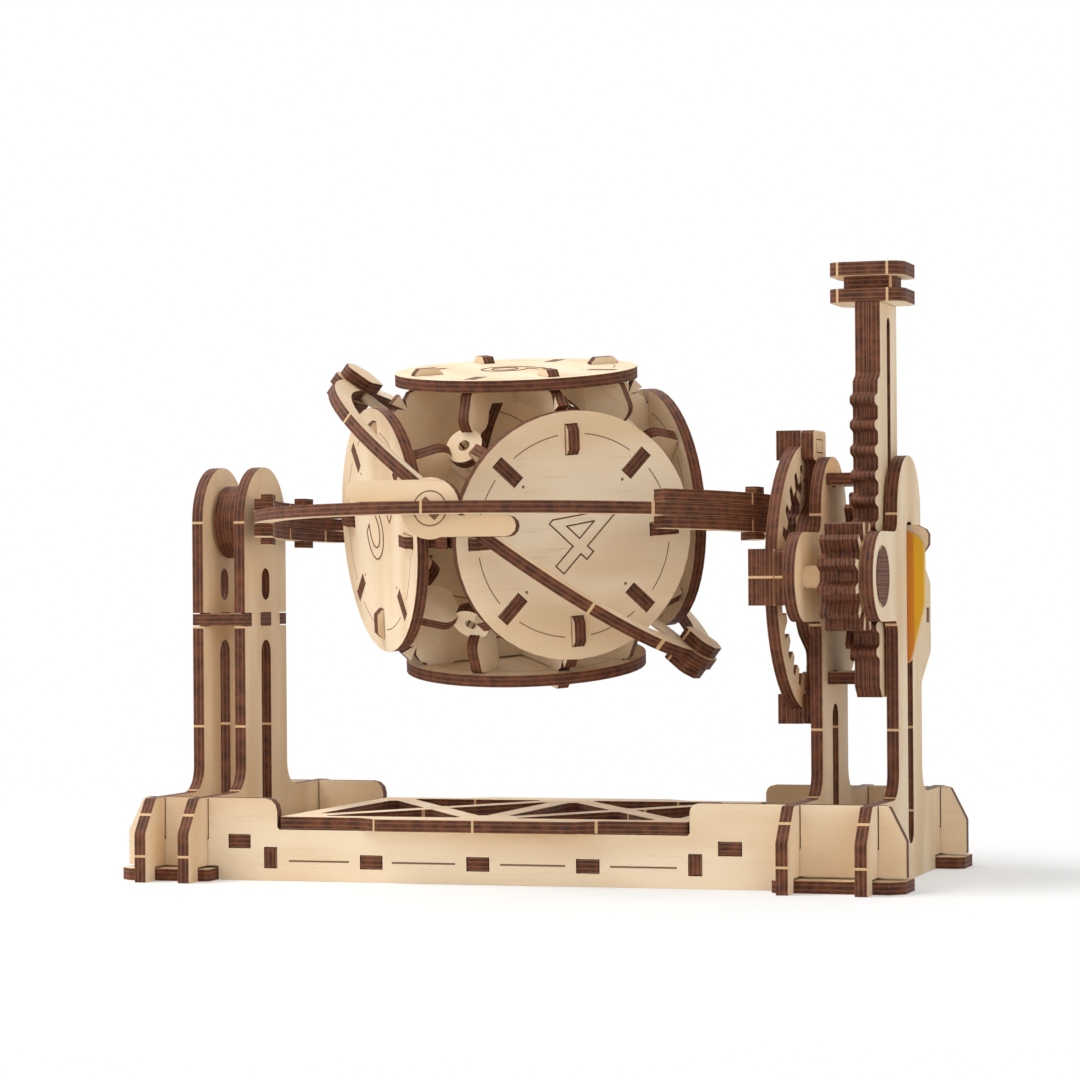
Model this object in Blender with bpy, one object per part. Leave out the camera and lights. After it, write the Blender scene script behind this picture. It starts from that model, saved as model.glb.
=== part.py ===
"""Laser-cut plywood desk toy: a cube of discs that spins in two nested rings
between two towers. A plunger with a rack drives a pinion, a gear and a ratchet wheel."""
import math

import bmesh
import bpy
from mathutils import Matrix, Vector

# Sheet material and fits, in millimetres
MM = 0.001
SHEET = 2.75            # thickness of one plywood sheet
GAP = 0.25              # air between glued or touching pieces
PLY = SHEET + GAP       # step from one stacked sheet to the next
SLIP = 0.3              # air on each side of a sheet in its slot
RUN = 0.09              # radial air round a running shaft
OVERLAP = 0.04          # how far glued sheets run into each other

# Base
OUTER_FACE = 85.86      # outside faces of the two outer tower sheets
LEFT_GAP = 8.0          # room between the left tower's sheets
RIGHT_GAP = 14.75       # room between the right tower's sheets
RAIL_Y = 35.5           # middle plane of each rail
RIB_REACH = 48.1        # how far a tower sheet runs to the front and back
RAIL_END = OUTER_FACE + 6.34        # end of each rail
RAIL_HIGH = 19.0        # top of the rail's end blocks
RAIL_LOW = 11.8         # top of the rail's middle
CHAMFER_Z = 11.3        # where the slanted corner starts
LAP_Z = 9.5             # half-lap between rails and tower sheets
BLOCK_LEFT = 30.86 - OUTER_FACE     # inner end of the left end block
BLOCK_RIGHT = OUTER_FACE - 42.46    # inner end of the right end block
FOOT_Y = (28.4, 42.6)   # inner and outer edge of a foot
FOOT_PAST = 2.4         # how far a foot runs past the inner tower sheet
DECK_BULGE = 41.5       # front of the deck's bulge
DECK_RIM = 5.0

# Towers
TOWER_W = 26.4
AXIS_Z = 83.5           # axis of the outer ring
SLOT_W = 6.0
SLOT_FOOT = 8.0
SLOT_TOP_LEFT = 55.0
BAR_Z = 60.0            # crossbar of the left tower
HOLE_ABOVE = (4.6, 12.3)            # the small slot above the crossbar
HOLE_W = 5.0
BORE_R = 5.0
SPOOL_R = 8.75

# Rings and cube
RING_X = -7.2           # centre of the rings and the cube
RING_OUT = 63.0
RING_W = 4.4            # how broad each ring's band is
RING_ROOM = 4.4         # between the rings, for the pivot plates
RING_IN = RING_OUT - RING_W
RING_TILT = math.radians(-1.4)
INNER_OUT = RING_IN - RING_ROOM
INNER_IN = INNER_OUT - RING_W - 0.2
INNER_TIP = INNER_OUT + 3.4        # end of the inner ring's lobes
DIAGONAL = math.atan(1 / math.sqrt(2))
SWING = math.radians(37.0)          # the inner ring's slope
CUBE_SPIN = math.radians(12.3)
DISC_R = 28.5
DISC_FACE = 35.4        # from the cube's centre to a disc's outer face
BAR_IN = 27.8           # inner edge of the cage behind a disc
HUB_AT = 34.5           # distance of a corner brace's hub from the centre
HUB_DISC = 4.4
LUG_TIP = 12.8          # from a disc's outer face to the tip of a brace's petal
SLOT_RING = 22.0        # radius of the disc's eight slots
SLOT_LEN = 6.8
TAB_OUT = 1.6           # how far a petal's tab stands out of the disc
PIN_R = 0.85
SPINDLE_R = 1.15

# Gear train
MODULE = 1.8
PINION_TEETH = 12
GEAR_TEETH = 21
RING_TEETH = 27
SMALL_TEETH = 11
PINION_R = MODULE * PINION_TEETH / 2
GEAR_R = MODULE * GEAR_TEETH / 2
WHEEL_Z = AXIS_Z - MODULE * (RING_TEETH - SMALL_TEETH) / 2
PINION_Y = -(PINION_R + GEAR_R)
WHEEL_RIM = 30.6
WHEEL_BLOCK = 33.6
SHAFT_R = 2.5
HUB_R = 7.5

# Plunger
RACK_LINE = PINION_Y + PINION_R
PLAIN_FRONT = -14.0
BAR_BACK = 4.0
BAR_TOP = 131.0
RACK_TOP = 113.0
RACK_FOOT = 45.0
BLOCK_FOOT = 41.9
CAP_HALF = 8.7
CAP_SHIFT = -0.7        # the cap stands a little inwards of the bar's middle
TRAVEL = 33.0

ARC_STEPS = 6

for old in list(bpy.data.objects):
    bpy.data.objects.remove(old, do_unlink=True)


def collection(name):
    made = bpy.data.collections.new(name)
    bpy.context.scene.collection.children.link(made)
    return made


PARTS = collection("mechanical_puzzle")
CUTTERS = collection("cutters")


def wood(name, colour, roughness=0.6):
    made = bpy.data.materials.new(name)
    made.use_nodes = True
    shader = made.node_tree.nodes["Principled BSDF"]
    shader.inputs["Base Color"].default_value = (*colour, 1.0)
    shader.inputs["Roughness"].default_value = roughness
    shader.inputs["Metallic"].default_value = 0.0
    return made


BIRCH = wood("birch_plywood", (0.80, 0.64, 0.45))
RUBBER = wood("amber_rubber", (0.72, 0.36, 0.02), 0.4)


# Outlines, all in millimetres

def arc(cx, cy, radius, start, end, steps=ARC_STEPS):
    span = [start + (end - start) * i / steps for i in range(steps + 1)]
    return [(cx + radius * math.cos(a), cy + radius * math.sin(a)) for a in span]


def circle(radius, cx=0.0, cy=0.0, steps=24):
    return arc(cx, cy, radius, 0, 2 * math.pi, steps)[:-1]


def rect(x0, x1, y0, y1):
    return [(x0, y0), (x1, y0), (x1, y1), (x0, y1)]


def stadium(cx, y0, y1, width, steps=8):
    r = width / 2
    return arc(cx, y1 - r, r, 0, math.pi, steps) + arc(cx, y0 + r, r, math.pi, 2 * math.pi, steps)


def fillet_steps(radius):
    if radius < 1.6:
        return 1
    return 3 if radius < 5 else 9


def rounded(corners):
    """A closed outline from corners (x, y, fillet radius)."""
    points = []
    count = len(corners)
    for i, (x, y, r) in enumerate(corners):
        here = Vector((x, y))
        if r <= 0:
            points.append((x, y))
            continue
        before = (Vector(corners[i - 1][:2]) - here).normalized()
        after = (Vector(corners[(i + 1) % count][:2]) - here).normalized()
        half = before.angle(after) / 2
        start = here + before * (r / math.tan(half))
        centre = here + (before + after).normalized() * (r / math.sin(half))
        a0 = math.atan2(*(start - centre).yx)
        turn = before.angle_signed(after)
        sweep = math.copysign(math.pi - 2 * half, turn)
        points += arc(centre.x, centre.y, r, a0, a0 + sweep, fillet_steps(r))
    return points


def turned(points, angle, about=(0.0, 0.0)):
    c, s = math.cos(angle), math.sin(angle)
    ax, ay = about
    return [(ax + (x - ax) * c - (y - ay) * s, ay + (x - ax) * s + (y - ay) * c) for x, y in points]


def gear(teeth, phase=0.0, inside=False):
    """Blunt trapezoid teeth. inside gives the hole of an internal gear."""
    pitch = MODULE * teeth / 2
    add, ded = 0.8 * MODULE, 1.1 * MODULE
    step = 2 * math.pi / teeth
    tall = pitch + (ded if inside else add)
    low = pitch - (add if inside else ded)
    wide, narrow = (0.30, 0.17) if inside else (0.27, 0.12)
    points = []
    for i in range(teeth):
        mid = phase + i * step
        for radius, share in ((low, -wide), (tall, -narrow), (tall, narrow), (low, wide)):
            a = mid + share * step
            points.append((radius * math.cos(a), radius * math.sin(a)))
    return points


# Solids

def body(name, at, parent=None, matrix=None):
    empty = bpy.data.objects.new(name, None)
    PARTS.objects.link(empty)
    empty.parent = parent
    empty.matrix_local = Matrix.Translation(Vector(at) * MM) @ (matrix or Matrix())
    return empty


FACING = {
    "x": Matrix(((0, 0, 1, 0), (1, 0, 0, 0), (0, 1, 0, 0), (0, 0, 0, 1))),
    "y": Matrix(((1, 0, 0, 0), (0, 0, -1, 0), (0, 1, 0, 0), (0, 0, 0, 1))),
    "z": Matrix(),
}


def flat_mesh(name, loops, thickness):
    """One sheet from outlines: the first is the edge, the rest are holes."""
    curve = bpy.data.curves.new(name, "CURVE")
    curve.dimensions = "2D"
    curve.fill_mode = "BOTH"
    curve.extrude = thickness / 2 * MM
    for loop in loops:
        spline = curve.splines.new("POLY")
        spline.points.add(len(loop) - 1)
        for point, (x, y) in zip(spline.points, loop):
            point.co = (x * MM, y * MM, 0, 1)
        spline.use_cyclic_u = True
    drawn = bpy.data.objects.new(name + "_outline", curve)
    bpy.context.scene.collection.objects.link(drawn)
    seen = drawn.evaluated_get(bpy.context.evaluated_depsgraph_get())
    mesh = bpy.data.meshes.new_from_object(seen)
    bpy.data.objects.remove(drawn, do_unlink=True)
    work = bmesh.new()
    work.from_mesh(mesh)
    bmesh.ops.remove_doubles(work, verts=work.verts, dist=0.00001)
    bmesh.ops.recalc_face_normals(work, faces=work.faces)
    work.to_mesh(mesh)
    work.free()
    mesh.name = name
    return mesh


def add(name, mesh, parent, matrix, material=BIRCH):
    made = bpy.data.objects.new(name, mesh)
    mesh.materials.clear()
    mesh.materials.append(material)
    PARTS.objects.link(made)
    made.parent = parent
    made.matrix_local = matrix
    mesh.shade_smooth()
    mesh.set_sharp_from_angle(angle=math.radians(35))
    return made


def placed(facing, at):
    return Matrix.Translation(Vector(at) * MM) @ FACING[facing]


def sheet(name, loops, facing, at, parent, material=BIRCH, thickness=SHEET):
    """A piece facing x, y or z, centred on at."""
    mesh = flat_mesh(name, loops, thickness)
    matrix = placed(facing, at)
    return add(name, mesh, parent, matrix, material)


def rod(name, radius, length, facing, at, parent, steps=24):
    return sheet(name, [circle(radius, steps=steps)], facing, at, parent, thickness=length)


def fused(name, items):
    """One mesh from overlapping solids, each given with its matrix."""
    made = []
    for mesh, matrix in items:
        item = bpy.data.objects.new(name + "_part", mesh)
        bpy.context.scene.collection.objects.link(item)
        item.matrix_world = matrix
        made.append(item)
    for other in made[1:]:
        step = made[0].modifiers.new("join", "BOOLEAN")
        step.object = other
        step.operation = "UNION"
        step.solver = "EXACT"
    bpy.context.view_layer.update()
    seen = made[0].evaluated_get(bpy.context.evaluated_depsgraph_get())
    mesh = bpy.data.meshes.new_from_object(seen)
    mesh.transform(items[0][1])
    for item in made:
        bpy.data.objects.remove(item, do_unlink=True)
    mesh.name = name
    return mesh


def joined(name, items, parent):
    """Glued sheets as one body; items are (outlines, thickness, facing, centre)."""
    solids = [(flat_mesh(name, loops, thick), placed(facing, at)) for loops, thick, facing, at in items]
    return add(name, fused(name, solids), parent, Matrix())


def cutter(name, mesh, matrix):
    made = bpy.data.objects.new(name, mesh)
    CUTTERS.objects.link(made)
    made.matrix_local = matrix
    made.hide_render = True
    made.display_type = "WIRE"
    return made


def cut(target, tool):
    step = target.modifiers.new("cut_" + tool.name, "BOOLEAN")
    step.object = tool
    step.operation = "DIFFERENCE"
    step.solver = "EXACT"


# Places of the tower sheets
LEFT_OUTER = -OUTER_FACE + SHEET / 2
LEFT_INNER = LEFT_OUTER + SHEET + LEFT_GAP
RIGHT_OUTER = OUTER_FACE - SHEET / 2
RIGHT_INNER = RIGHT_OUTER - SHEET - RIGHT_GAP
SHEET_PLACES = (LEFT_OUTER, LEFT_INNER, RIGHT_INNER, RIGHT_OUTER)

# Joint frames
root = body("frame", (0, 0, 0))
plunger = body("plunger_axis", (RIGHT_OUTER, 0, BAR_TOP))
pinion = body("pinion_axis", (RIGHT_OUTER - RIGHT_GAP / 2, PINION_Y, WHEEL_Z))
drive = body("drive_gear_axis", (RIGHT_INNER, 0, WHEEL_Z))
wheel = body("wheel_axis", (RIGHT_INNER, 0, WHEEL_Z))
gimbal = body("outer_ring_axis", (RING_X, 0, AXIS_Z))
ring_plane = body("ring_plane", (0, 0, 0), gimbal, Matrix.Rotation(RING_TILT, 4, "X"))
swing = body("inner_ring_axis", (0, 0, 0), ring_plane, Matrix.Rotation(SWING, 4, "Y"))
spin = body("cube_axis", (0, 0, 0), swing, Matrix.Rotation(CUBE_SPIN, 4, "X"))


# Base

def foot_span(side):
    inner = LEFT_INNER + SHEET / 2 + FOOT_PAST if side < 0 else -(RIGHT_INNER - SHEET / 2 - FOOT_PAST)
    return (-RAIL_END, inner)


def rail(name, y):
    """A rail: end blocks high, middle low, lap slots from above, notches for the feet."""
    lift = SHEET + GAP * 2
    left_in = foot_span(-1)[1] + GAP
    right_in = -foot_span(1)[1] - GAP
    bottom = [(-RAIL_END, lift, 0), (left_in, lift, 0), (left_in, 0, 0), (right_in, 0, 0),
              (right_in, lift, 0), (RAIL_END, lift, 0)]
    slant = RAIL_END - 3.9
    half = SHEET / 2 + SLIP
    laps = []
    for x in reversed(SHEET_PLACES):
        laps.append([(x + half, RAIL_HIGH, 0), (x + half, LAP_Z - GAP / 2, 0),
                     (x - half, LAP_Z - GAP / 2, 0), (x - half, RAIL_HIGH, 0)])
    top = [(RAIL_END, CHAMFER_Z, 1.0), (slant, RAIL_HIGH, 0.8)]
    top += laps[0] + laps[1]
    top += [(BLOCK_RIGHT, RAIL_HIGH, 2.0), (BLOCK_RIGHT, RAIL_LOW, 0.5),
            (BLOCK_LEFT, RAIL_LOW, 0.5), (BLOCK_LEFT, RAIL_HIGH, 3.0)]
    top += laps[2] + laps[3]
    top += [(-slant, RAIL_HIGH, 0.8), (-RAIL_END, CHAMFER_Z, 1.0)]
    return sheet(name, [rounded(bottom + top)] + tenon_holes(), "y", (0, y, 0), root)


# Tenons that show in the rails: (x, z, width, height)
PANEL_Z = 4.6
DECK_MID = (BLOCK_LEFT + BLOCK_RIGHT) / 2
PANEL_TENONS = (DECK_MID - 26.2, DECK_MID - 0.5, DECK_MID + 25.5)
END_Z = 9.0
END_TENONS = (BLOCK_LEFT - 9.4, BLOCK_RIGHT + 9.2)
RIB_TENONS = (BLOCK_LEFT - 1.7, BLOCK_RIGHT + 1.2)
RIB_TENON_Z = (3.1, 7.5)
TENON_W = 5.0


def tenon_holes():
    half = SHEET / 2 + GAP
    wide = TENON_W / 2 + GAP
    holes = [rect(x - wide, x + wide, PANEL_Z - half, PANEL_Z + half) for x in PANEL_TENONS]
    holes += [rect(x - wide, x + wide, END_Z - half, END_Z + half) for x in END_TENONS]
    holes += [rect(x - half, x + half, RIB_TENON_Z[0] - GAP, RIB_TENON_Z[1] + GAP) for x in RIB_TENONS]
    return holes


RAIL_INNER = RAIL_Y - SHEET / 2
RAIL_OUTER = RAIL_Y + SHEET / 2
rail("front_rail", -RAIL_Y)
rail("rear_rail", RAIL_Y)


def tenoned(x0, x1, tenons, half_tenon, reach=RAIL_INNER - GAP):
    """A sheet between the rails with tenons that run through both."""
    outline = [(x0, -reach)]
    for t in tenons:
        outline += [(t - half_tenon, -reach), (t - half_tenon, -RAIL_OUTER),
                    (t + half_tenon, -RAIL_OUTER), (t + half_tenon, -reach)]
    outline.append((x1, -reach))
    mirrored = [(x, -y) for x, y in reversed(outline)]
    return outline + mirrored


WINDOW_X = (BLOCK_LEFT + 9.0, BLOCK_RIGHT - 9.4)
WINDOW_Y = 24.0
WINDOW_R = 4.0
RIB_CLEAR = 3.0         # from a rib's middle to the base panel
window = rounded([(x, y, WINDOW_R) for x, y in rect(*WINDOW_X, -WINDOW_Y, WINDOW_Y)])
sheet("base_panel", [tenoned(RIB_TENONS[0] + RIB_CLEAR, RIB_TENONS[1] - RIB_CLEAR, PANEL_TENONS, TENON_W / 2),
                     window], "z", (0, 0, PANEL_Z), root)
END_PANELS = (("left_end_panel", (BLOCK_LEFT - 15.5, BLOCK_LEFT - 4.0), END_TENONS[0]),
              ("right_end_panel", (BLOCK_RIGHT + 3.6, BLOCK_RIGHT + 19.1), END_TENONS[1]))
for name, (x0, x1), tenon in END_PANELS:
    sheet(name, [tenoned(x0, x1, (tenon,), TENON_W / 2)], "z", (0, 0, END_Z), root)


def cross_rib(name, x):
    low, high = RIB_TENON_Z
    reach = RAIL_INNER - GAP
    outline = [(-reach, 0.6), (reach, 0.6), (reach, low), (RAIL_OUTER, low), (RAIL_OUTER, high),
               (reach, high), (reach, RAIL_LOW - 0.6), (-reach, RAIL_LOW - 0.6), (-reach, high),
               (-RAIL_OUTER, high), (-RAIL_OUTER, low), (-reach, low)]
    return sheet(name, [outline], "x", (x, 0, 0), root)


for name, x in (("left_cross_rib", RIB_TENONS[0]), ("right_cross_rib", RIB_TENONS[1])):
    cross_rib(name, x)


def foot_outline(side, y_side):
    """A foot plate: the rail and the tower sheets are notched over it."""
    x0, x1 = foot_span(side)
    x0 = x0 - 0.4
    y0, y1 = FOOT_Y
    corners = [(x0, y0, 1.5), (x1, y0, 0.8), (x1, y1, 0.8), (x0 + 3, y1, 0.5), (x0, y1 - 3, 0.5)]
    points = rounded(corners)
    if side > 0:
        points = [(-x, y) for x, y in points]
    return [(x, y * y_side) for x, y in points]


for name, side, y_side in (("foot_front_left", -1, -1), ("foot_front_right", 1, -1),
                           ("foot_rear_left", -1, 1), ("foot_rear_right", 1, 1)):
    sheet(name, [foot_outline(side, y_side)], "z", (0, 0, SHEET / 2), root)


def deck():
    """The lattice deck: two bays, each crossed by two slats, under a bulging edge."""
    x0, x1 = BLOCK_LEFT + 0.6, BLOCK_RIGHT - 0.6
    y = RAIL_OUTER
    b = DECK_BULGE
    mid = DECK_MID
    edge = [(x0, -y, 0.5), (mid - 29, -y, 1), (mid - 23, -b, 1), (mid + 23, -b, 1), (mid + 29, -y, 1),
            (x1, -y, 0.5), (x1, y, 0.5), (mid + 29, y, 1), (mid + 23, b, 1), (mid - 23, b, 1),
            (mid - 29, y, 1), (x0, y, 0.5)]
    holes = []
    slat = 2.6
    for bay0, bay1 in ((x0 + DECK_RIM, mid - slat), (mid + slat, x1 - DECK_RIM)):
        cx, hx, hy = (bay0 + bay1) / 2, (bay1 - bay0) / 2, y - DECK_RIM
        slope = math.hypot(hx, hy)
        dx, dy = slat * slope / hy, slat * slope / hx
        holes.append(rounded([(cx - hx + dx, -hy, 1), (cx + hx - dx, -hy, 1), (cx, -dy, 1)]))
        holes.append(rounded([(cx - hx + dx, hy, 1), (cx, dy, 1), (cx + hx - dx, hy, 1)]))
        holes.append(rounded([(cx - hx, -hy + dy, 1), (cx - dx, 0, 1), (cx - hx, hy - dy, 1)]))
        holes.append(rounded([(cx + hx, -hy + dy, 1), (cx + hx, hy - dy, 1), (cx + dx, 0, 1)]))
    sheet("deck_lattice", [rounded(edge)] + holes, "z", (0, 0, RAIL_LOW + GAP + SHEET / 2), root)


deck()


# Towers

def tower(name, x, holes, front=None, rear=None, top=AXIS_Z + TOWER_W / 2):
    """A tower sheet with its ribs, in (y, z). front and rear are lobes on its sides."""
    w = TOWER_W / 2
    lift = SHEET + GAP * 2
    half = SHEET / 2 + SLIP
    side = [(RAIL_Y + half, lift, 0), (RAIL_Y + half, LAP_Z + GAP / 2, 0), (RAIL_Y - half, LAP_Z + GAP / 2, 0),
            (RAIL_Y - half, lift, 0)]
    inner, outer = FOOT_Y[0] - GAP, FOOT_Y[1] + GAP
    right = [(inner, 0, 0), (inner, lift, 0)] + side[::-1] + [(outer, lift, 0), (outer, 0, 0)]
    left = [(-y, z, r) for y, z, r in reversed(right)]
    slant = RIB_REACH - 6.2
    edge = left + right
    edge += [(RIB_REACH, 0, 0), (RIB_REACH, CHAMFER_Z, 1), (slant, RAIL_HIGH, 1), (w, RAIL_HIGH, 6)]
    edge += rear or []
    edge += [(w, top, w - 0.05), (-w, top, w - 0.05)]
    edge += front or []
    edge += [(-w, RAIL_HIGH, 6), (-slant, RAIL_HIGH, 1), (-RIB_REACH, CHAMFER_Z, 1), (-RIB_REACH, 0, 0)]
    return sheet(name, [rounded(edge)] + holes, "x", (x, 0, 0), root)


BAR_TENON = 3.2
BAR_SIDE = 9.2


def left_holes():
    half = SHEET / 2 + GAP
    holes = [stadium(0, SLOT_FOOT, SLOT_TOP_LEFT, SLOT_W)]
    holes.append(rect(-BAR_TENON - GAP, BAR_TENON + GAP, BAR_Z - half, BAR_Z + half))
    holes.append(stadium(0, BAR_Z + HOLE_ABOVE[0], BAR_Z + HOLE_ABOVE[1], HOLE_W))
    return holes


for name, x in (("left_tower_outer", LEFT_OUTER), ("left_tower_inner", LEFT_INNER)):
    w = TOWER_W / 2
    half = SHEET / 2 + GAP
    notch_up = [(w, BAR_Z - half, 0), (BAR_SIDE - GAP, BAR_Z - half, 0), (BAR_SIDE - GAP, BAR_Z + half, 0),
                (w, BAR_Z + half, 0)]
    notch_down = [(-y, z, r) for y, z, r in reversed(notch_up)]
    tower(name, x, left_holes() + [circle(BORE_R + RUN, 0, AXIS_Z)], notch_down, notch_up)

w = TOWER_W / 2
inner_half = LEFT_GAP / 2 - GAP
reach_x = LEFT_GAP / 2 + SHEET
bar = [(-reach_x, -BAR_TENON), (-inner_half, -BAR_TENON), (-inner_half, -BAR_SIDE), (-reach_x, -BAR_SIDE),
       (-reach_x, -w)]
bar += [(-x, y) for x, y in reversed(bar)]
bar += [(-x, -y) for x, y in bar]
sheet("left_crossbar", [bar], "z", ((LEFT_OUTER + LEFT_INNER) / 2, 0, BAR_Z), root)

# Right tower, with the pinion's lobes
LOBE = 10.0
BAR_CLEAR = 0.7
BAR_OUTER = RIGHT_OUTER - SHEET / 2 - BAR_CLEAR - SHEET / 2
BAR_INNER = BAR_OUTER - PLY
GEAR_X = BAR_INNER - PLY
BAR_X = (BAR_OUTER + BAR_INNER) / 2
GUIDE_Z = (46.0, 91.4)
GUIDE_TENON = (-1.6, 1.6)
GUIDE_Y = (-8.0, 9.5)
REAR_BAR_Y = 21.2
REAR_BAR_Z = (56.5, 63.5)

front_lobe = [(-w, WHEEL_Z + LOBE, 3), (PINION_Y - LOBE, WHEEL_Z + LOBE, LOBE - 0.1),
              (PINION_Y - LOBE, WHEEL_Z - LOBE, LOBE - 0.1), (-w, WHEEL_Z - LOBE, 3)]
rear_lobe = [(w, 44.5, 2), (24.6, 51.5, 2), (24.6, 67.5, 2), (w, 74.5, 2)]
half = SHEET / 2 + GAP
rear_slot = rect(REAR_BAR_Y - half, REAR_BAR_Y + half, REAR_BAR_Z[0] + 2 - GAP, REAR_BAR_Z[1] - 2 + GAP)
pinion_bore = circle(SHAFT_R + RUN, PINION_Y, WHEEL_Z)
guide_slots = [rect(GUIDE_TENON[0] - GAP, GUIDE_TENON[1] + GAP, z - half, z + half) for z in GUIDE_Z]
ws, slot_top = SLOT_W / 2, AXIS_Z - 2
long_slot = rounded([(-ws, SLOT_FOOT, 2.9), (ws, SLOT_FOOT, 2.9), (ws, slot_top, 1), (-ws, slot_top, 1)])
tower("right_tower_outer", RIGHT_OUTER, [long_slot, pinion_bore, rear_slot], front_lobe, rear_lobe)
tower("right_tower_inner", RIGHT_INNER,
      [stadium(0, SLOT_FOOT, GUIDE_Z[0] - SLOT_W, SLOT_W), circle(SHAFT_R + RUN, 0, WHEEL_Z), pinion_bore,
       rear_slot] + guide_slots, front_lobe, rear_lobe)

inner_face = RIGHT_INNER + SHEET / 2
outer_face = RIGHT_OUTER - SHEET / 2
for name, z in (("lower_guide", GUIDE_Z[0]), ("upper_guide", GUIDE_Z[1])):
    bar_side = BAR_INNER - SHEET / 2 - SLIP
    back = BAR_BACK + SLIP
    y0, y1 = GUIDE_Y
    outline = [(inner_face + GAP, y0), (bar_side, y0), (bar_side, back), (outer_face - GAP, back),
               (outer_face - GAP, y1), (inner_face + GAP, y1), (inner_face + GAP, GUIDE_TENON[1]),
               (RIGHT_INNER - SHEET / 2, GUIDE_TENON[1]), (RIGHT_INNER - SHEET / 2, GUIDE_TENON[0]),
               (inner_face + GAP, GUIDE_TENON[0])]
    sheet(name, [outline], "z", (0, 0, z), root)

low, high = REAR_BAR_Z
rear_bar = [(inner_face + GAP, low), (outer_face - GAP, low), (outer_face - GAP, low + 2),
            (OUTER_FACE, low + 2), (OUTER_FACE, high - 2), (outer_face - GAP, high - 2),
            (outer_face - GAP, high), (inner_face + GAP, high), (inner_face + GAP, high - 2),
            (RIGHT_INNER - SHEET / 2, high - 2), (RIGHT_INNER - SHEET / 2, low + 2),
            (inner_face + GAP, low + 2)]
sheet("right_rear_bar", [rear_bar], "y", (0, REAR_BAR_Y, 0), root)

# Hook in the long slot, and the elastic band over it
HOOK_Y = 1.3
HOOK_Z = (74.2, 81.0)
HOOK_OUT = 4.4
BAND_Y = -1.7
BAND_FOOT = 48.5
hook = rounded([(outer_face + GAP, HOOK_Z[0] + 0.8, 0), (OUTER_FACE + HOOK_OUT - 1.5, HOOK_Z[0], 0.5),
                (OUTER_FACE + HOOK_OUT, HOOK_Z[0] + 2, 1), (OUTER_FACE + HOOK_OUT, HOOK_Z[1] - 1.5, 1.2),
                (OUTER_FACE + HOOK_OUT - 3, HOOK_Z[1], 1), (outer_face + GAP, HOOK_Z[1] - 0.6, 0)])
sheet("band_hook", [hook], "y", (0, HOOK_Y, 0), root)
band_in = OUTER_FACE - SHEET + GAP
band = rounded([(band_in, BAND_FOOT, 0), (OUTER_FACE + 0.6, BAND_FOOT + 1, 2),
                (OUTER_FACE + 3.9, BAND_FOOT + 14, 16), (OUTER_FACE + 3.9, HOOK_Z[1] - 3, 5),
                (OUTER_FACE - 0.5, HOOK_Z[1] - 1.4, 0.8), (band_in, HOOK_Z[1] - 2.5, 0)])
sheet("elastic_band", [band], "y", (0, BAND_Y, 0), root, material=RUBBER, thickness=1.8)


# Plunger: two rack sheets, a cap of three sheets

def rack_outline():
    """The bar in (y, z) from the plunger's origin at its top, with wavy teeth to the front."""
    pitch = math.pi * MODULE
    add_, ded = 0.8 * MODULE, 1.1 * MODULE
    tip, root_y = RACK_LINE - add_, RACK_LINE + ded
    front = [(PLAIN_FRONT, BAR_TOP, 0), (PLAIN_FRONT, RACK_TOP + 1.5, 1), (root_y, RACK_TOP, 0)]
    first = math.floor((RACK_TOP - 3 - WHEEL_Z) / pitch)
    last = math.ceil((RACK_FOOT + 3 - WHEEL_Z) / pitch)
    for i in range(first, last - 1, -1):
        z = WHEEL_Z + i * pitch
        front += [(root_y, z + 0.27 * pitch, 0.4), (tip, z + 0.12 * pitch, 0.5),
                  (tip, z - 0.12 * pitch, 0.5), (root_y, z - 0.27 * pitch, 0.4)]
    front += [(root_y, BLOCK_FOOT + 2.5, 0), (root_y + 2.5, BLOCK_FOOT, 0)]
    back = [(BAR_BACK, BLOCK_FOOT, 0.8), (BAR_BACK, BAR_TOP, 0)]
    return [(y, z - BAR_TOP) for y, z in rounded(front + back)]


bar_slot = stadium(-5.0, BLOCK_FOOT + 8 - BAR_TOP, -3.0, 3.6, 6)
sheet("rack_bar", [rack_outline(), bar_slot], "x", (BAR_X - RIGHT_OUTER, 0, 0), plunger,
      thickness=PLY + SHEET)
CAP_Y = (PLAIN_FRONT + BAR_BACK) / 2
cap_layers = []
for level, h in enumerate((CAP_HALF, CAP_HALF - 2.6, CAP_HALF)):
    layer = rounded([(-h, -h, 3.5), (h, -h, 3.5), (h, h, 3.5), (-h, h, 3.5)])
    cap_layers.append(([layer], PLY + OVERLAP,
                       "z", (BAR_X + CAP_SHIFT - RIGHT_OUTER, CAP_Y, GAP + SHEET / 2 + PLY * level)))
joined("plunger_cap", cap_layers, plunger)


# Pinion on its axle

pinion_x = RIGHT_OUTER - RIGHT_GAP / 2
teeth_gap = math.pi / PINION_TEETH
sheet("pinion", [gear(PINION_TEETH, teeth_gap), circle(SHAFT_R + GAP, steps=24)], "x",
      (BAR_INNER - pinion_x, 0, 0), pinion, thickness=2 * PLY + SHEET)
axle_in = RIGHT_INNER - SHEET / 2
rod("pinion_axle", SHAFT_R, OUTER_FACE - axle_in, "x", ((OUTER_FACE + axle_in) / 2 - pinion_x, 0, 0),
    pinion)

# Driven gear and its shaft through the inner tower sheet

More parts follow.
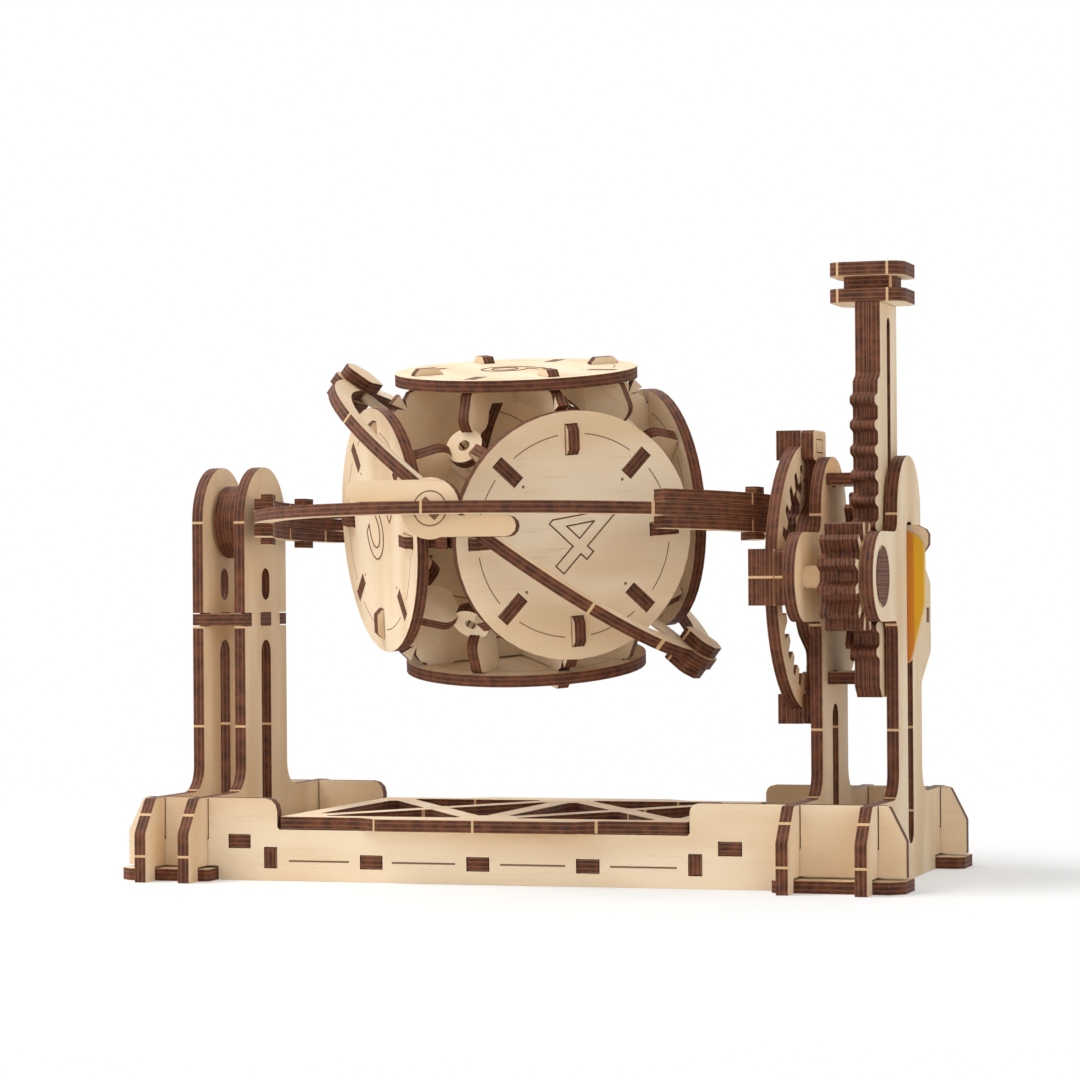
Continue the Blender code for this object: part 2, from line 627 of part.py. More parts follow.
SPIDER_X = RIGHT_INNER - SHEET - 0.5
RING_GEAR_X = SPIDER_X - PLY
RIM_X = RING_GEAR_X - PLY
shaft_in = RIM_X - SHEET / 2
shaft_out = BAR_INNER - SHEET / 2 - GAP
sheet("driven_gear", [gear(GEAR_TEETH, math.pi if GEAR_TEETH % 2 else 0), circle(SHAFT_R + GAP, steps=24)]
      + [circle(3.2, 10.8 * math.cos(a), 10.8 * math.sin(a), 12)
         for a in [math.pi / 5 + 2 * math.pi * i / 5 for i in range(5)]],
      "x", (GEAR_X - RIGHT_INNER, 0, 0), drive)
space_in, space_out = inner_face + GAP, GEAR_X - SHEET / 2 - GAP
joined("gear_shaft", [
    ([circle(SHAFT_R, steps=24)], shaft_out - shaft_in, "x", ((shaft_in + shaft_out) / 2 - RIGHT_INNER, 0, 0)),
    ([circle(HUB_R - 1)], space_out - space_in, "x", ((space_in + space_out) / 2 - RIGHT_INNER, 0, 0)),
], drive)

# Wheel: an internal gear and a spider, with four blocks of stacked sheets

BLOCK_W = 12.6
BLOCK_IN = 26.8         # inner end of a block
SPIDER_HUB = 17.5
SPIDER_ARM = 6.4
KEY_LONG = 6.0
SAW_TEETH = 8
SAW_R = 9.8
PAWL_R = 8.0


def wheel_outline():
    half_w = BLOCK_W / 2
    a = math.asin(half_w / WHEEL_RIM)
    points = []
    for i in range(4):
        turn = i * math.pi / 2
        lobe = [(WHEEL_BLOCK, -half_w), (WHEEL_BLOCK, half_w)]
        points += turned(lobe, turn)
        points += arc(0, 0, WHEEL_RIM, turn + a, turn + math.pi / 2 - a, 10)
    return points


def spider_outline():
    """A round hub with four narrow arms that end in blocks."""
    half_w, arm = BLOCK_W / 2, SPIDER_ARM / 2
    neck = math.sqrt(SPIDER_HUB ** 2 - arm ** 2)
    corners = []
    for i in range(4):
        side = [(neck, -arm, 2.5), (BLOCK_IN, -arm, 0.8), (BLOCK_IN, -half_w, 0.5), (WHEEL_BLOCK, -half_w, 0.8),
                (WHEEL_BLOCK, half_w, 0.8), (BLOCK_IN, half_w, 0.5), (BLOCK_IN, arm, 0.8), (neck, arm, 2.5)]
        side.append((SPIDER_HUB * math.cos(math.pi / 4), SPIDER_HUB * math.sin(math.pi / 4), SPIDER_HUB * 0.55))
        for x, y, r in side:
            (px, py), = turned([(x, y)], i * math.pi / 2)
            corners.append((px, py, r))
    return rounded(corners)


def key_slots(extra=GAP):
    mid = (WHEEL_RIM + WHEEL_BLOCK) / 2 - 2.0
    flat = rect(mid - SHEET / 2 - extra, mid + SHEET / 2 + extra, -KEY_LONG / 2 - extra,
                KEY_LONG / 2 + extra)
    return [turned(flat, i * math.pi / 2) for i in range(4)]


def saw_hole():
    """Hole of the spider: saw teeth whose tips run on the pawl disc."""
    points = []
    step = 2 * math.pi / SAW_TEETH
    for i in range(SAW_TEETH):
        a = i * step
        for share, radius in ((0, PAWL_R + RUN), (0.12, PAWL_R + RUN), (0.16, SAW_R), (0.45, SAW_R - 0.3)):
            points.append((radius * math.cos(a + share * step), radius * math.sin(a + share * step)))
    return points


def pawl_disc():
    """A disc with two spring pawls, each freed from it by a thin curved slit."""
    points = []
    for turn in (0.0, math.pi):
        points += turned([(PAWL_R * math.cos(0.12), PAWL_R * math.sin(0.12))], turn)
        points += turned(arc(0, 0, PAWL_R - 2.2, 0.30, 1.9, 8), turn)
        points += turned(arc(0, 0, PAWL_R - 1.5, 1.9, 0.40, 8), turn)
        points += turned(arc(0, 0, PAWL_R, 0.32, math.pi, 16), turn)
    return points


block = rect(BLOCK_IN, WHEEL_BLOCK, -BLOCK_W / 2, BLOCK_W / 2)
block_at = RIM_X - SHEET / 2 + (PLY + OVERLAP) / 2 - RIGHT_INNER
key_in, key_out = RIM_X + 0.5, SPIDER_X + SHEET / 2
joined("wheel_internal_gear", [
    ([wheel_outline(), gear(RING_TEETH, math.pi / 2, inside=True)], SHEET, "x", (RING_GEAR_X - RIGHT_INNER, 0, 0))]
    + [([turned(block, i * math.pi / 2)], PLY + OVERLAP, "x", (block_at, 0, 0)) for i in range(4)]
    + [([loop], key_out - key_in, "x", ((key_in + key_out) / 2 - RIGHT_INNER, 0, 0)) for loop in key_slots(0)],
    wheel)
sheet("wheel_spider", [spider_outline(), saw_hole()] + key_slots(),
      "x", (SPIDER_X - RIGHT_INNER, 0, 0), wheel)
sheet("pawl_disc", [pawl_disc(), circle(SHAFT_R + GAP, steps=24)], "x", (SPIDER_X - RIGHT_INNER, 0, 0),
      drive)

# Link that carries the outer ring's right axle from the gear shaft

link = arc(0, WHEEL_Z, 6.0, math.pi, 2 * math.pi, 12) + arc(0, AXIS_Z, 6.0, 0, math.pi, 12)
sheet("axle_link", [link, circle(SHAFT_R + RUN, 0, WHEEL_Z, 24), circle(SHAFT_R + RUN, 0, AXIS_Z, 24)],
      "x", (RIM_X, 0, 0), root)

# Outer ring

ring_end = RING_X + RING_OUT
small_x = RING_GEAR_X - RING_X
small_out = RING_GEAR_X + SHEET / 2
joined("small_gear", [
    ([gear(SMALL_TEETH, math.pi / 2)], SHEET, "x", (small_x, 0, 0)),
    ([circle(SHAFT_R, steps=24)], small_out - ring_end - GAP - 0.5, "x",
     ((small_out + ring_end + GAP - 0.5) / 2 - RING_X, 0, 0)),
], gimbal)
left_end = -OUTER_FACE
left_length = RING_X - RING_OUT - GAP - left_end
rod("left_ring_axle", BORE_R, left_length, "x", (left_end + left_length / 2 - RING_X, 0, 0), gimbal, 32)
sheet("spool", [circle(SPOOL_R, steps=40), circle(BORE_R + GAP)], "x",
      ((LEFT_OUTER + LEFT_INNER) / 2 - RING_X, 0, 0), gimbal, thickness=PLY + SHEET)

RING_KEY = (4.2, 3.2)
KEY_TURN = math.radians(11)
RIGHT_PAD = math.radians(42)
LEFT_PAD = math.radians(24)
ring_mid = (RING_IN + RING_OUT) / 2


def ring_key_slots(centres, extra=GAP):
    flat = rect(ring_mid - SHEET / 2 - extra, ring_mid + SHEET / 2 + extra,
                -RING_KEY[0] / 2 - extra, RING_KEY[0] / 2 + extra)
    return [turned(flat, a) for a in centres]


RIGHT_KEYS = (-KEY_TURN, KEY_TURN)
LEFT_KEYS = (math.pi - KEY_TURN, math.pi + KEY_TURN)
outer_ring = sheet("outer_ring", [circle(RING_OUT, steps=64), circle(RING_IN, steps=64)]
                   + ring_key_slots(RIGHT_KEYS + LEFT_KEYS), "z", (0, 0, 0), ring_plane)
for end, middle, spread, keys in (("right", 0.0, RIGHT_PAD, RIGHT_KEYS),
                                  ("left", math.pi, LEFT_PAD, LEFT_KEYS)):
    pad = (arc(0, 0, RING_OUT, middle - spread, middle + spread, 14)
           + arc(0, 0, RING_IN, middle + spread, middle - spread, 14))
    key_long = 2 * PLY + SHEET + RING_KEY[1]
    joined(f"{end}_ring_pads", [([pad], SHEET, "z", (0, 0, PLY)), ([pad], SHEET, "z", (0, 0, -PLY))]
           + [([loop], key_long, "z", (0, 0, 0)) for loop in ring_key_slots(keys, 0)], ring_plane)

# Inner ring, turned about the pins on the Y axis

NOTCH = SPINDLE_R + RUN
SPINDLE_END = INNER_OUT + 1.2


def notched_circle(radius, half_w, reach):
    """A round hole with a notch at each end of X for the spindle."""
    a = math.asin(half_w / radius)
    right = [(reach, -half_w), (reach, half_w)]
    top = arc(0, 0, radius, a, math.pi - a, 30)
    bottom = arc(0, 0, radius, math.pi + a, 2 * math.pi - a, 30)
    return top + turned(right, math.pi) + bottom + right


def lobed_circle(radius, half_w, reach):
    a = math.asin(half_w / radius)
    lobe = rounded([(radius - 1, -half_w, 0), (reach, -half_w, 4.5), (reach, half_w, 4.5),
                    (radius - 1, half_w, 0)])[1:-1]
    top = arc(0, 0, radius, a, math.pi - a, 30)
    bottom = arc(0, 0, radius, math.pi + a, 2 * math.pi - a, 30)
    return lobe + top + turned(lobe, math.pi) + bottom


END_HALF = 7.5
PEG_IN, PEG_OUT = INNER_OUT - 2.7, INNER_OUT + 0.3
END_PEGS = [rect(PEG_IN, PEG_OUT, side * 3.6 - 1.1, side * 3.6 + 1.1) for side in (-1, 1)]
peg_holes = [rect(PEG_IN - GAP, PEG_OUT + GAP, side * 3.6 - 1.1 - GAP, side * 3.6 + 1.1 + GAP)
             for side in (-1, 1)]
inner_ring = sheet("inner_ring", [lobed_circle(INNER_OUT, END_HALF, INNER_TIP),
                                  notched_circle(INNER_IN, NOTCH, SPINDLE_END + GAP)]
                   + peg_holes + [turned(loop, math.pi) for loop in peg_holes],
                   "z", (0, 0, 0), swing)
x0, x1 = INNER_IN - 1.0, INNER_TIP - 0.6
end_pad = rounded([(x0, -4.5, 1), (x1 - 2.5, -6.5, 1), (x1, -3, 1), (x1, 3, 1), (x1 - 2.5, 6.5, 1),
                   (x0, 4.5, 1)])
for end, turn in (("right", 0.0), ("left", math.pi)):
    pegs = [([turned(loop, turn)], 2 * PLY, "z", (0, 0, 0)) for loop in END_PEGS]
    joined(f"{end}_end_pads", [([turned(end_pad, turn)], SHEET, "z", (0, 0, side * PLY))
                               for side in (-1, 1)] + pegs, swing)

# Pivots: a plate between the rings, one arm over the outer ring and one under it

PLATE_Y = INNER_OUT + SLIP + SHEET / 2
BOSS_R = 6.9
BOSS_X = -2.8           # the front boss stands a little to the left of its pin
ARM = 20.0              # from the boss's middle to an arm's end
ARM_H = 4.7
PIN_END = RING_OUT - 0.8
PIN_LONG = PIN_END - INNER_IN - 0.8
arm_z = SHEET / 2 + SLIP + ARM_H / 2


def boss_outline():
    """A round boss with an arm to the right below the ring and one to the left above it."""
    r, h = BOSS_R, ARM_H / 2
    low, high = math.asin((arm_z + h) / r), math.asin((arm_z - h) / r)
    tip = arc(ARM - h, -arm_z, h, -math.pi / 2, math.pi / 2, 6)
    half = arc(0, 0, r, math.pi - high, 2 * math.pi - low, 10) + tip
    return half + turned(half, math.pi)


for name, side in (("front_pivot", -1), ("rear_pivot", 1)):
    pin_at = (0, side * (INNER_IN + 0.8 + PIN_LONG / 2), 0)
    plate = [(-side * (x + BOSS_X), z) for x, z in boss_outline()]
    joined(name, [([plate], SHEET, "y", (0, side * PLATE_Y, 0)),
                  ([circle(PIN_R, steps=24)], PIN_LONG, "y", pin_at)], ring_plane)
    for ring, holder in ((outer_ring, ring_plane), (inner_ring, swing)):
        tool = cutter(f"{name}_{holder.name}", flat_mesh("tunnel", [circle(PIN_R + RUN, steps=24)], PIN_LONG + 1.4),
                      placed("y", pin_at))
        tool.parent = holder
        cut(ring, tool)

# Cube of six discs, turning on its body diagonal

E1 = Vector((1, -1, 0)).normalized()
E2 = Vector((1, 1, 0)).normalized()
E3 = Vector((0, 0, 1))
AXES = (E1, E2, E3)
TILT = Matrix.Rotation(-DIAGONAL, 4, "Y")


def plane_of(u, v):
    """A turn that sends local x to u, y to v and z to u cross v."""
    return Matrix((u, v, u.cross(v))).transposed().to_4x4()


def frame_of(u, v):
    return TILT @ plane_of(u, v)


def disc_slots(extra):
    flat = rect(SLOT_RING - SLOT_LEN / 2 - extra, SLOT_RING + SLOT_LEN / 2 + extra,
                -SHEET / 2 - extra, SHEET / 2 + extra)
    return [turned(flat, i * math.pi / 4) for i in range(8)]


disc_mesh = flat_mesh("disc", [circle(DISC_R, steps=48)] + disc_slots(0.2), SHEET)
disc_mid = DISC_FACE - SHEET / 2
for i, axis in enumerate(AXES):
    for side, tag in ((1, "a"), (-1, "b")):
        u, v = AXES[(i + 1) % 3], AXES[(i + 2) % 3]
        place = frame_of(u, v) @ Matrix.Translation((0, 0, side * disc_mid * MM))
        add(f"disc_{i + 1}{tag}", disc_mesh.copy(), spin, place)

under = DISC_FACE - SHEET - GAP
lo, hi = SLOT_RING - SLOT_LEN / 2, SLOT_RING + SLOT_LEN / 2
top = DISC_FACE + TAB_OUT
PETAL_MID = 12.0        # half the straight bar behind a disc
PETAL_IN = lo + 1.9     # inner end of the web between two petals
PETAL_PAST = 4.4        # how far a petal runs on past its tab
PETAL_CLEFT = 2.0       # where the cleft between two petals ends
STAGGER = 0.1           # keeps the crossing bars' edges off one plane


def petal_outline(loop_of_side):
    points = []
    for k in range(4):
        turn = Matrix.Rotation(k * math.pi / 2, 2)
        points += [(*(turn @ Vector((x, y))), r) for x, y, r in loop_of_side((k % 2) * STAGGER)]
    return rounded(points)


def outer_side(inset):
    """One side of a petal sheet, with the two tabs that go through a disc."""
    base = under - inset
    upper = [(base, lo, 0), (top, lo, 1.2), (top, hi, 1.2), (base, hi, 0), (base, hi + PETAL_PAST, 3)]
    cleft = [(hi + PETAL_CLEFT, hi + PETAL_CLEFT, 1.5)]
    return [(x, -y, r) for x, y, r in reversed(upper)] + upper + cleft


def inner_side(inset):
    bar = BAR_IN + inset
    return [(bar, -PETAL_MID, 2), (bar, PETAL_MID, 2), (PETAL_IN, PETAL_IN, 6)]


petal_sheet = flat_mesh("petal_sheet", [petal_outline(outer_side), petal_outline(inner_side)], SHEET)
cage = fused("petal_cage", [(petal_sheet, frame_of(AXES[i], AXES[(i + 1) % 3])) for i in range(3)])
add("petal_cage", cage, spin, Matrix())

lug_tip = DISC_FACE - LUG_TIP
lug_end = SLOT_RING + 4.6           # the tip leans out to the corner's hub
lug = rounded([(DISC_FACE, lo, 0), (DISC_FACE, hi, 0), (under, hi, 0), (under, hi + 1.6, 0.6),
               (lug_tip + 3.4, lug_end + 2.9, 3), (lug_tip, lug_end, 1), (lug_tip + 0.8, lo + 0.4, 4),
               (under, lo - 1.2, 0.6), (under, lo, 0)])
corner_out = (E1 + E2 + E3).normalized()
across = corner_out.orthogonal().normalized()
solids = []
for k in range(3):
    beside = (AXES[(k + 1) % 3] + AXES[(k + 2) % 3]).normalized()
    solids.append((flat_mesh("lug", [lug], SHEET), plane_of(AXES[k], beside)))
hub_place = plane_of(across, corner_out.cross(across)) @ Matrix.Translation((0, 0, HUB_AT * MM))
solids.append((flat_mesh("hub", [circle(HUB_DISC, steps=24), circle(SPINDLE_R + GAP, steps=16)], SHEET), hub_place))
brace_mesh = fused("corner_brace", solids)
count = 0
for flip in (0.0, math.pi):
    for k in range(4):
        count += 1
        place = Matrix.Rotation(flip, 4, E1) @ Matrix.Rotation(k * math.pi / 2, 4, E3)
        add(f"corner_brace_{count}", brace_mesh.copy(), spin, TILT @ place)
rod("spindle", SPINDLE_R, 2 * SPINDLE_END, "x", (0, 0, 0), spin)
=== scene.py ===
# %% [markdown]
# # A plywood desk toy, dressed for the studio
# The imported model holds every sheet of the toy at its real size. This notebook leaves the
# sheets where they are and gives them what a laser cutter gives real plywood: pale birch
# faces with fine grain, burnt brown edges, and thin engraved lines. The sheets could be drawn
# again here, but the model already has their true outlines, so this adds only the finishes
# and a few thin pieces.

# %% Load the model
import math

import bmesh
import bpy
from mathutils import Matrix, Vector


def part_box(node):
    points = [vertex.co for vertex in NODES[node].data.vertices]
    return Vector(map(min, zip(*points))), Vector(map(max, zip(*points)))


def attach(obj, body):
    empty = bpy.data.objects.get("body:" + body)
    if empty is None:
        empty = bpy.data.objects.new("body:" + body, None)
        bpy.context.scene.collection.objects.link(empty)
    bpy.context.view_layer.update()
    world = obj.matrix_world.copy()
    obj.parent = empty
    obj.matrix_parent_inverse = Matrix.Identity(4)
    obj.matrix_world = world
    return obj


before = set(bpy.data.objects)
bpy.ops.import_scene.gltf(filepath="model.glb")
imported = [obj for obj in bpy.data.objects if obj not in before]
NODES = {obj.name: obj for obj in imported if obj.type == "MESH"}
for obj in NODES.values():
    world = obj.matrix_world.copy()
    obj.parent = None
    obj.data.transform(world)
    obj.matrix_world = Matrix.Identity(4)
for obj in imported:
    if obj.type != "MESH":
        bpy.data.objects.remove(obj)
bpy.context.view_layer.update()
MM = 0.001

# %% [markdown]
# ## The places that the looks depend on
# The cube hangs in two rings, and each of them is tilted. Their axes could be measured on the
# meshes, but the angles that the model was built with are exact, so the axes are worked out
# from those, once. A grain, a burnt edge or an engraved line can then be laid along them.

# %% Axes of the rings and the cube
CENTRE = Vector((-7.2, 0.0, 83.5)) * MM
RING_TILT = math.radians(-1.4)
SWING = math.radians(37.0)
DIAGONAL = math.atan(1 / math.sqrt(2))
CUBE_SPIN = math.radians(12.3)
ring_turn = Matrix.Rotation(RING_TILT, 3, "X")
swing_turn = ring_turn @ Matrix.Rotation(SWING, 3, "Y")
cube_turn = swing_turn @ Matrix.Rotation(CUBE_SPIN, 3, "X") @ Matrix.Rotation(-DIAGONAL, 3, "Y")
ROOT_HALF = 1 / math.sqrt(2)
CUBE_AXES = [cube_turn @ Vector(v)
             for v in ((ROOT_HALF, -ROOT_HALF, 0), (ROOT_HALF, ROOT_HALF, 0), (0, 0, 1))]
X, Y, Z = Vector((1, 0, 0)), Vector((0, 1, 0)), Vector((0, 0, 1))
print("cube axes:", [[round(c, 3) for c in a] for a in CUBE_AXES])

# %% [markdown]
# ## Shader maths as expressions
# A plywood edge is a formula: how far a point lies from the middle of its sheet decides which
# ply it is in. Writing that with boxes and wires hides the formula, so a small class lets
# Python's own operators add the Math nodes. Every other node comes from one function: it takes
# the node's type, the settings that must be there first, and what goes into its sockets.

# %% A socket that understands arithmetic
def plug(tree, slot, value):
    if isinstance(value, Wire):
        tree.links.new(value.socket, slot)
    else:
        slot.default_value = value


def add_node(tree, kind, settings=None, out=0, **values):
    """A new node's output; a value is named after its socket, or _2 for the third socket."""
    made = tree.nodes.new("ShaderNode" + kind)
    for key, value in (settings or {}).items():
        setattr(made, key, value)
    for key, value in values.items():
        slot = made.inputs[int(key[1:])] if key[0] == "_" else made.inputs[key.replace("_", " ")]
        plug(tree, slot, value)
    return Wire(tree, made.outputs[out])


class Wire:
    """One output socket; operators on it add Math nodes."""

    def __init__(self, tree, socket):
        self.tree = tree
        self.socket = socket

    def _math(self, operation, *values):
        slots = {f"_{place}": value for place, value in enumerate(values)}
        return add_node(self.tree, "Math", {"operation": operation}, **slots)

    def __add__(self, other):
        return self._math("ADD", self, other)

    def __sub__(self, other):
        return self._math("SUBTRACT", self, other)

    def __mul__(self, other):
        return self._math("MULTIPLY", self, other)

    def __truediv__(self, other):
        return self._math("DIVIDE", self, other)

    def __radd__(self, other):
        return self._math("ADD", other, self)

    def __rsub__(self, other):
        return self._math("SUBTRACT", other, self)

    def __rmul__(self, other):
        return self._math("MULTIPLY", other, self)

    def __gt__(self, other):
        return self._math("GREATER_THAN", self, other)

    def __lt__(self, other):
        return self._math("LESS_THAN", self, other)

    def __abs__(self):
        return self._math("ABSOLUTE", self)

    def fract(self):
        return self._math("FRACT", self)

    def root(self):
        return self._math("SQRT", self)

    def max(self, other):
        return self._math("MAXIMUM", self, other)

    def min(self, other):
        return self._math("MINIMUM", self, other)

    def ramp(self, low, high):
        """0 below low, 1 above high, and a smooth step between them."""
        smooth = {"interpolation_type": "SMOOTHSTEP"}
        return add_node(self.tree, "MapRange", smooth, Value=self, From_Min=low, From_Max=high)


print("Wire is ready")

# %% [markdown]
# A finish asks the same things again and again: where a point is, which way it faces, a noise,
# a blend of two colours. They could be written out in each material, but a small workbench
# that holds one material and its shader keeps the finishes readable.

# %% A workbench for one material
class Finish:
    """A new material with a Principled shader, and the tools to wire it."""

    def __init__(self, name):
        self.material = bpy.data.materials.new(name)
        self.material.use_nodes = True
        self.tree = self.material.node_tree
        self.shader = self.tree.nodes["Principled BSDF"]

    def node(self, kind, settings=None, out=0, **values):
        return add_node(self.tree, kind, settings, out, **values)

    def place(self):
        return self.node("TexCoord", out="Object")

    def normal(self):
        return self.node("TexCoord", out="Normal")

    def along(self, vector, direction):
        """How far a vector reaches along a fixed direction."""
        dot = {"operation": "DOT_PRODUCT"}
        return self.node("VectorMath", dot, "Value", _0=vector, _1=tuple(direction))

    def noise(self, where, scale, detail=3.0, rough=0.5):
        return self.node("TexNoise", Vector=where, Scale=scale, Detail=detail, Roughness=rough)

    def squeeze(self, where, turn, sizes):
        """The place seen in a sheet's own axes, stretched by sizes."""
        rows = [self.along(where, axis) * size for axis, size in zip(turn, sizes)]
        return self.node("CombineXYZ", X=rows[0], Y=rows[1], Z=rows[2])

    def mix(self, factor, first, second):
        """A blend of two colours; sockets 6 and 7 in and 2 out are the node's colour sockets."""
        return self.node("Mix", {"data_type": "RGBA"}, 2, Factor=factor, _6=first, _7=second)

    def set(self, name, value):
        plug(self.tree, self.shader.inputs[name], value)

    def bump(self, height, distance, strength):
        self.set("Normal", self.node("Bump", Height=height, Distance=distance, Strength=strength))


print("Finish is ready")

# %% [markdown]
# ## Birch plywood, cut with a laser
# A sheet has two pale faces and burnt edges. Each could have a material of its own, but then
# every face of every mesh has to be sorted. Here both are in one material: the angle between
# the surface and the sheet's own normal tells face from edge. The palette comes first, as it
# looks in even light.

# %% Colours of the wood
def paint(red, green, blue):
    """A colour read as 0 to 255, as Blender wants it."""
    parts = [c / 255 for c in (red, green, blue)]
    linear = [c / 12.92 if c <= 0.04 else ((c + 0.055) / 1.055) ** 2.4 for c in parts]
    return (*linear, 1.0)


FACE_PALE = paint(237, 217, 188)
FACE_WARM = paint(222, 193, 156)
FACE_STREAK = paint(205, 170, 128)
BURNT = paint(104, 58, 38)
BURNT_DEEP = paint(58, 31, 21)
# lighter burnt brown of the veneer, also used for the painted highlight beside an edge's faces
BURNT_VENEER_AND_HIGHLIGHT = paint(150, 98, 62)
# brown of engraved lines, also used for the painted shade of the tenon slots on the rails
NICK = paint(226, 186, 138)
ENGRAVED_AND_SLOT_SHADE = paint(96, 60, 36)
PLY = 3.0 * MM          # from one glued sheet to the next
SHEET = 2.75 * MM       # between a sheet's own two faces
print("palette ready")

# %% [markdown]
# ## Faces and burnt edges
# Birch has a fine, straight grain under soft, cloudy tints. A picture of wood could be laid on
# the faces, but it would repeat and stretch, so two noises, drawn out along the grain, give
# both. On an edge, the distance from the sheet's middle gives the plies: a dark core, a
# lighter veneer on each side, and a scorched rim at the glue lines. Just inside each face's
# border a pale line is painted as the highlight that the edge's corner would catch; in a stack
# it also runs beside each inner glue line. Where the cut left a bridge to the waste wood, the
# edge has a pale nick, and each nick is a thin plane.

# %% The two halves of the material
GRAIN = (55, 900, 900)      # how fine the fibres are along, across and through a sheet
CLOUDS = (14, 60, 60)       # the same for the soft tints


def wood_face(finish, place, axes):
    """Colour of a birch face; axes are its grain, across and normal directions."""
    grain = finish.noise(finish.squeeze(place, axes, GRAIN), 1.0, 4.0, 0.65)
    cloud = finish.noise(finish.squeeze(place, axes, CLOUDS), 1.0, 2.0)
    colour = finish.mix(cloud.ramp(0.35, 0.68), FACE_PALE, FACE_WARM)
    return finish.mix(grain.ramp(0.56, 0.80) * 0.55, colour, FACE_STREAK)


def wood_edge(finish, place, depth, nicks, core):
    """Colour of a burnt edge, with a painted highlight beside each face; depth is measured from a core
    (0.5) or a glue line (0.0).
    """
    layer = (depth / PLY + core).fract()
    from_middle = abs(layer - 0.5) * 2
    scorch = finish.noise(place, 420.0, 3.0, 0.6)
    colour = finish.mix(scorch.ramp(0.30, 0.72), BURNT_DEEP, BURNT)
    veneer = from_middle.ramp(0.22, 0.30) * (1 - from_middle.ramp(0.42, 0.52))
    colour = finish.mix(veneer * 0.42, colour, BURNT_VENEER_AND_HIGHLIGHT)
    # painted highlight: a pale line just inside each face's border, where the edge's corner would catch
    # light; in a stack it also runs beside each inner glue line
    rim = from_middle.ramp(0.76, 0.86) * (1 - from_middle.ramp(0.90, 0.96))
    colour = finish.mix(rim * 0.55, colour, BURNT_VENEER_AND_HIGHLIGHT)
    colour = finish.mix(from_middle.ramp(0.91, 0.97) * 0.8, colour, BURNT_DEEP)
    for direction, value, half in nicks:
        line = abs(finish.along(place, direction) - value) < half
        colour = finish.mix(line * 0.85, colour, NICK)
    return colour


def finish_wood(finish, place, face, face_colour, edge_colour):
    """Joins face and edge by the mask, with a little grain in the surface."""
    finish.set("Base Color", finish.mix(face, edge_colour, face_colour))
    pores = finish.noise(place, 900.0, 2.0, 0.6)
    finish.set("Roughness", 0.62 + pores * 0.16)
    finish.set("Specular IOR Level", 0.30)
    finish.bump(pores, 0.00012, 0.35)
    return finish.material


print("face and edge ready")

# %% [markdown]
# ## One sheet, a stack, or sheets that cross
# Glued sheets repeat their plies every 3 mm. A stack of an even number has a glue line in its
# middle, and one of an odd number has a core there, so the pattern shifts by half a sheet. The
# cube's cage is one mesh of sheets that cross. It could be cut apart for its finish, but a rule
# does the same: a point is on a face when it lies half a sheet from a middle plane and the
# surface looks along that plane's normal.

# %% Finishes for sheets
FACE_SLACK = 0.1 * MM


def plywood(name, normal, grain, middle, even=False, nicks=(), marks=()):
    """The finish of a sheet, or of a stack of them, that lies across normal."""
    finish = Finish(name)
    place = finish.place()
    axes = (grain, normal.cross(grain), normal)
    face = abs(finish.along(finish.normal(), normal)).ramp(0.78, 0.92)
    depth = finish.along(place, normal) - middle
    edge = wood_edge(finish, place, depth, nicks, core=0.0 if even else 0.5)
    colour = wood_face(finish, place, axes)
    for mark in marks:
        # the marks are engraved lines, and on the rails also the painted shade of the tenon slots
        colour = finish.mix(mark(finish, place) * 0.9, colour, ENGRAVED_AND_SLOT_SHADE)
    return finish_wood(finish, place, face, colour, edge)


def crossed_plywood(name, sheets, centre):
    """The finish of sheets that cross; each is a normal and its distance from the centre."""
    finish = Finish(name)
    minus = {"operation": "SUBTRACT"}
    place = finish.node("VectorMath", minus, _0=finish.place(), _1=tuple(centre))
    facing = finish.normal()
    face = None
    depth = None
    for normal, distance in sheets:
        away = abs(abs(finish.along(place, normal)) - distance)
        here = (abs(finish.along(facing, normal)) > 0.9) * (abs(away - SHEET / 2) < FACE_SLACK)
        face = here if face is None else face.max(here)
        depth = away if depth is None else depth.min(away)
    axes = [normal for normal, _ in sheets[:3]]
    edge = wood_edge(finish, place, depth, (), core=0.5)
    return finish_wood(finish, place, face, wood_face(finish, place, axes), edge)


def dress(node, material):
    mesh = NODES[node].data
    mesh.materials.clear()
    mesh.materials.append(material)


print("plywood ready")

# %% [markdown]
# ## Lines that the laser draws
# The laser also draws thin brown lines that are burnt and not cut. They could be a picture on
# each face, but a formula stays sharp however near the camera comes. Each kind of line is a
# small function of two distances, measured on the sheet from the middle of the drawing. The
# dark dashes on the rails are drawn the same way, but they are painted shade of the slots
# where the base panel's tenons sit.

# %% Engraved lines
def flat(finish, place, centre, first, second):
    """Distances from centre along two directions of a sheet, in millimetres."""
    return [(finish.along(place, axis) - centre.dot(axis)) / MM for axis in (first, second)]


def engraved_ring(centre, first, second, radius, half=0.13, spokes=0.0):
    """A circle, broken off near the eight slots when spokes is their half width."""
    def draw(finish, place):
        u, v = flat(finish, place, centre, first, second)
        line = abs((u * u + v * v).root() - radius) < half
        if not spokes:
            return line
        clear = abs(u).min(abs(v)).min(abs(u + v) * ROOT_HALF).min(abs(u - v) * ROOT_HALF)
        return line * (clear > spokes)
    return draw


def engraved_dots(centre, first, second, distance, radius=0.36):
    """Four dots on the diagonals."""
    def draw(finish, place):
        u, v = flat(finish, place, centre, first, second)
        u, v = abs(u) - distance * ROOT_HALF, abs(v) - distance * ROOT_HALF
        return (u * u + v * v).root() < radius
    return draw


